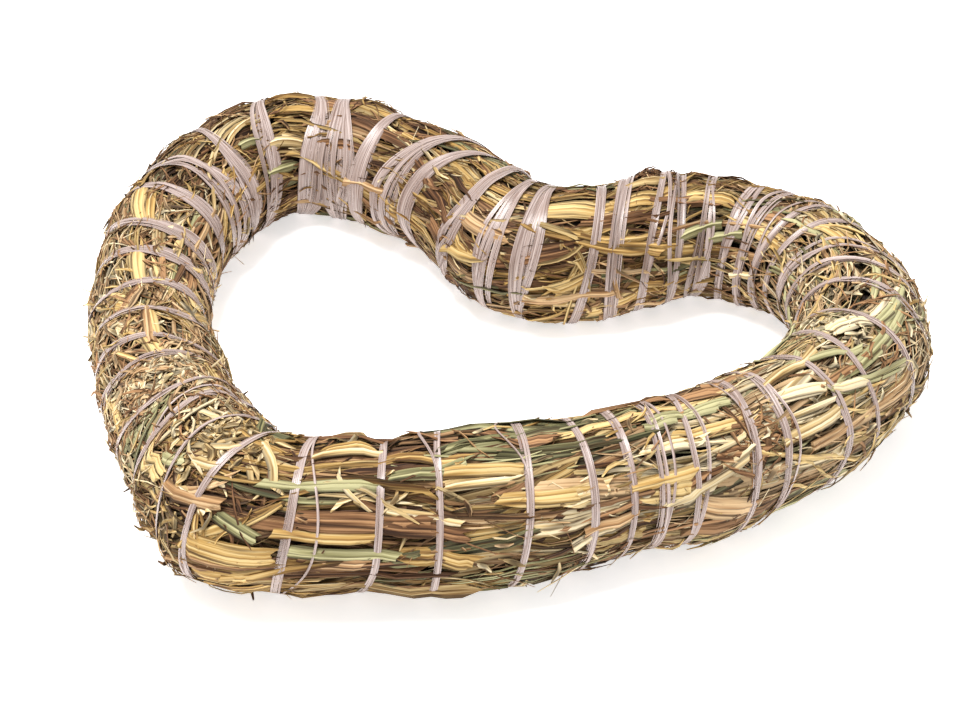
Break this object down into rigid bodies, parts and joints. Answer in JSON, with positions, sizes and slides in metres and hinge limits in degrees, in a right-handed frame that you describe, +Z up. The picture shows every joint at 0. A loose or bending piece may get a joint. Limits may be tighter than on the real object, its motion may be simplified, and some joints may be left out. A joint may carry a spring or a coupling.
{
  "type": "straw heart ornament",
  "caption": "Heart-shaped ring of packed straw, wound round with plastic twine, lying flat, open in the middle.",
  "frame": {"origin": "middle of the heart's outer box, on the table it lies on", "axes": "+Z up from the table, the heart's tip points to -Y, +X along the heart's width"},
  "size_m": [0.2726, 0.2312, 0.045],
  "materials": {
    "packed_straw": "dry plant straw, matt",
    "twine": "whitish translucent plastic twine, glossy",
    "golden_straw": "dry plant stalk, satin",
    "pale_straw": "dry plant stalk, satin",
    "tan_straw": "dry plant stalk, satin",
    "brown_straw": "dry plant stalk, satin",
    "green_straw": "dry plant stalk, satin"
  },
  "bodies": {
    "root": {"straw_bundle": "packed_straw", "binding_twine": "twine", "tip_gold_blade": "golden_straw", "tip_tan_stalk": "tan_straw", "front_brown_blade": "brown_straw", "front_green_stalk": "green_straw", "front_yellow_stalk": "pale_straw", "front_lower_green_stalk": "green_straw", "front_gold_stalk": "golden_straw", "front_pale_blade": "pale_straw", "front_lower_stalk": "tan_straw", "right_limb_gold_stalk": "golden_straw", "right_limb_green_stalk": "green_straw", "right_limb_brown_blade": "brown_straw", "right_limb_pale_stalk": "pale_straw", "right_limb_upper_stalk": "pale_straw", "right_lobe_long_green_stalk": "green_straw", "right_lobe_gold_blade": "golden_straw", "right_lobe_green_stalk": "green_straw", "cleft_yellow_blade": "golden_straw", "cleft_yellow_stalk": "pale_straw", "cleft_tan_stalk": "tan_straw", "left_lobe_tan_blade": "tan_straw", "left_lobe_tan_stalk": "tan_straw", "left_lobe_brown_blade": "brown_straw", "left_limb_green_stalk": "green_straw", "left_limb_pale_stalk": "pale_straw", "left_limb_gold_stalk": "golden_straw", "left_limb_brown_blade": "brown_straw", "left_limb_tan_stalk": "tan_straw"}
  },
  "joints": []
}
